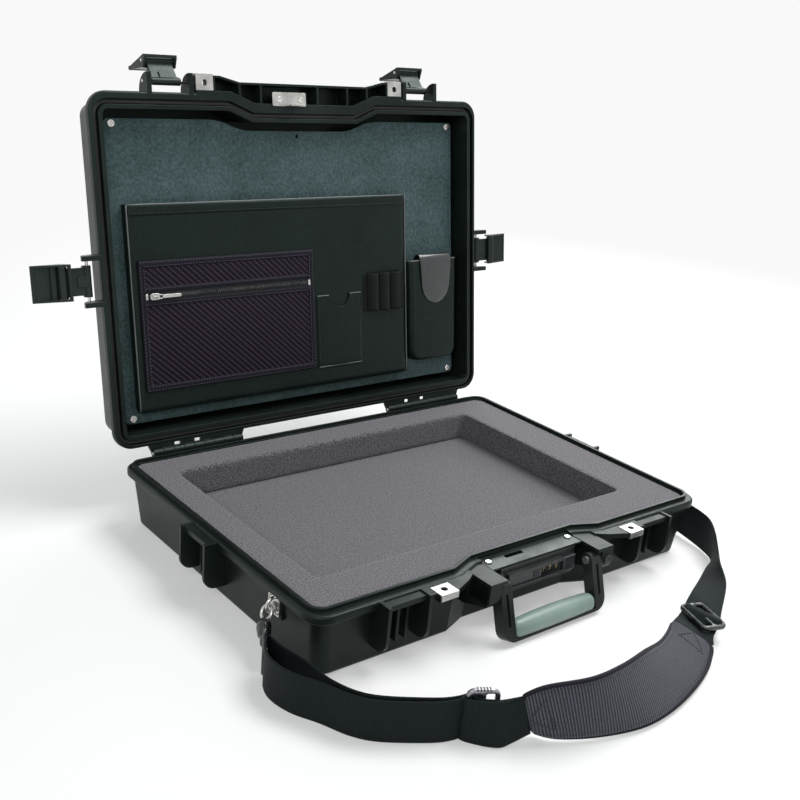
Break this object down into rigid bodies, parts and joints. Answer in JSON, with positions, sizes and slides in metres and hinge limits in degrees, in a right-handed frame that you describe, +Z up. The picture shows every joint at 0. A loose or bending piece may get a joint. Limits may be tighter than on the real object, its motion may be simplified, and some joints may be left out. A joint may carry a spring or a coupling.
{
  "type": "laptop hard case",
  "caption": "Hinged hard case for a laptop with over-centre latches, a folding handle, a dial lock, a lid organiser and a padded shoulder strap.",
  "frame": {"origin": "centre of the base's bottom face, on the floor", "axes": "+X along the case to the right as seen from its handle, +Y from the handle side to the hinge, +Z up; the base lies level and the lid stands open on its stop"},
  "size_m": [0.6444, 0.6874, 0.4696],
  "materials": {
    "shell": "fine moulded texture",
    "bezel": "satin",
    "lock_body": "semi-gloss",
    "lock_trim": "gloss",
    "dial": "gloss with printed digits",
    "steel": "brushed",
    "bright_steel": "bright plated",
    "dark_metal": "black coated",
    "latch": "satin",
    "grip": "satin",
    "handle": "satin",
    "seal": "matt",
    "foam": "open-cell foam",
    "liner": "pebbled sheet",
    "leather": "smooth grained",
    "flap_leather": "glazed grain",
    "nylon": "diagonal twill",
    "elastic": "ribbed elastic",
    "zip": "coil zip",
    "webbing": "flat woven",
    "pad": "ribbed padded cloth"
  },
  "bodies": {
    "base": {"base_shell": "shell", "base_fins": "shell", "foam_frame": "foam", "foam_pad": "foam", "bezel_plate": "bezel", "bezel_screws": "bright_steel", "lock_housing": "lock_body", "lock_axle": "steel", "base_padlock_plates": "steel", "vent_knob": "lock_trim", "hinge_pins": "bright_steel", "handle_bolts": "steel", "strap_anchors": "bright_steel", "anchor_screws": "bright_steel", "left_snap_hook": "bright_steel", "right_snap_hook": "bright_steel", "strap_left": "webbing", "strap_left_return": "webbing", "left_slider": "bright_steel", "shoulder_pad": "pad", "right_slider": "dark_metal", "strap_right": "webbing"},
    "lid": {"lid_shell": "shell", "lid_gasket": "seal", "liner_panel": "liner", "liner_screws": "bright_steel", "file_pocket": "leather", "zip_pocket": "nylon", "zip_track": "zip", "card_pocket": "leather", "pen_loops": "elastic", "phone_holster": "leather", "hasp": "steel", "hasp_screws": "bright_steel", "lid_padlock_plates": "steel", "latch_pins": "bright_steel"},
    "front_left_link": {"front_left_link": "latch"},
    "front_left_lever": {"front_left_lever": "latch", "front_left_lever_pin": "bright_steel"},
    "front_right_link": {"front_right_link": "latch"},
    "front_right_lever": {"front_right_lever": "latch", "front_right_lever_pin": "bright_steel"},
    "left_link": {"left_link": "latch"},
    "left_lever": {"left_lever": "latch", "left_lever_pin": "bright_steel"},
    "right_link": {"right_link": "latch"},
    "right_lever": {"right_lever": "latch", "right_lever_pin": "bright_steel"},
    "lock_dial_1": {"lock_dial_1": "dial"},
    "lock_dial_2": {"lock_dial_2": "dial"},
    "lock_dial_3": {"lock_dial_3": "dial"},
    "handle": {"handle_frame": "handle", "handle_grip": "grip"},
    "lock_cover": {"lock_cover": "lock_trim"},
    "lock_button": {"lock_button": "lock_trim", "button_spring": "steel"},
    "zip_slider": {"zip_slider": "bright_steel"},
    "holster_flap": {"holster_flap": "flap_leather"}
  },
  "joints": [
    {"name": "lid_hinge", "type": "hinge", "parent": "base", "child": "lid", "pos_m": [0, 0.1915, 0.066], "axis": [1, 0, 0], "range_deg": [0, 99.4]},
    {"name": "front_left_link_hinge", "type": "hinge", "parent": "lid", "child": "front_left_link", "pos_m": [-0.165, 0.26528, 0.44433], "axis": [1, 0, 0], "range_deg": [-20, 125]},
    {"name": "front_left_lever_hinge", "type": "hinge", "parent": "front_left_link", "child": "front_left_lever", "pos_m": [-0.165, 0.28347, 0.46291], "axis": [1, 0, 0], "range_deg": [-25, 55]},
    {"name": "front_right_link_hinge", "type": "hinge", "parent": "lid", "child": "front_right_link", "pos_m": [0.165, 0.26528, 0.44433], "axis": [1, 0, 0], "range_deg": [-20, 125]},
    {"name": "front_right_lever_hinge", "type": "hinge", "parent": "front_right_link", "child": "front_right_lever", "pos_m": [0.165, 0.28347, 0.46291], "axis": [1, 0, 0], "range_deg": [-25, 55]},
    {"name": "left_link_hinge", "type": "hinge", "parent": "lid", "child": "left_link", "pos_m": [-0.266, 0.23314, 0.25017], "axis": [0, 0.1633, 0.9866], "range_deg": [-55, 90]},
    {"name": "left_lever_hinge", "type": "hinge", "parent": "left_link", "child": "left_lever", "pos_m": [-0.292, 0.23314, 0.25017], "axis": [0, 0.1633, 0.9866], "range_deg": [-80, 0]},
    {"name": "right_link_hinge", "type": "hinge", "parent": "lid", "child": "right_link", "pos_m": [0.266, 0.23314, 0.25017], "axis": [0, -0.1633, -0.9866], "range_deg": [-55, 90]},
    {"name": "right_lever_hinge", "type": "hinge", "parent": "right_link", "child": "right_lever", "pos_m": [0.292, 0.23314, 0.25017], "axis": [0, -0.1633, -0.9866], "range_deg": [-80, 0]},
    {"name": "handle_hinge", "type": "hinge", "parent": "base", "child": "handle", "pos_m": [0, -0.201, 0.0515], "axis": [-1, 0, 0], "range_deg": [-33, 72]},
    {"name": "lock_cover_slide", "type": "slide", "parent": "base", "child": "lock_cover", "axis": [1, 0, 0], "range_m": [0, 0.029]},
    {"name": "lock_button_press", "type": "slide", "parent": "base", "child": "lock_button", "axis": [0, 1, 0], "range_m": [0, 0.0025], "stiffness_N_per_m": 200},
    {"name": "lock_dial_1_spin", "type": "hinge", "parent": "base", "child": "lock_dial_1", "pos_m": [0, -0.1816, 0.047], "axis": [1, 0, 0], "continuous": true},
    {"name": "lock_dial_2_spin", "type": "hinge", "parent": "base", "child": "lock_dial_2", "pos_m": [0, -0.1816, 0.047], "axis": [1, 0, 0], "continuous": true},
    {"name": "lock_dial_3_spin", "type": "hinge", "parent": "base", "child": "lock_dial_3", "pos_m": [0, -0.1816, 0.047], "axis": [1, 0, 0], "continuous": true},
    {"name": "zip_slide", "type": "slide", "parent": "lid", "child": "zip_slider", "axis": [1, 0, 0], "range_m": [0, 0.168]},
    {"name": "holster_flap_hinge", "type": "hinge", "parent": "lid", "child": "holster_flap", "pos_m": [0, 0.2389, 0.24212], "axis": [1, 0, 0], "range_deg": [-48, 0]}
  ]
}
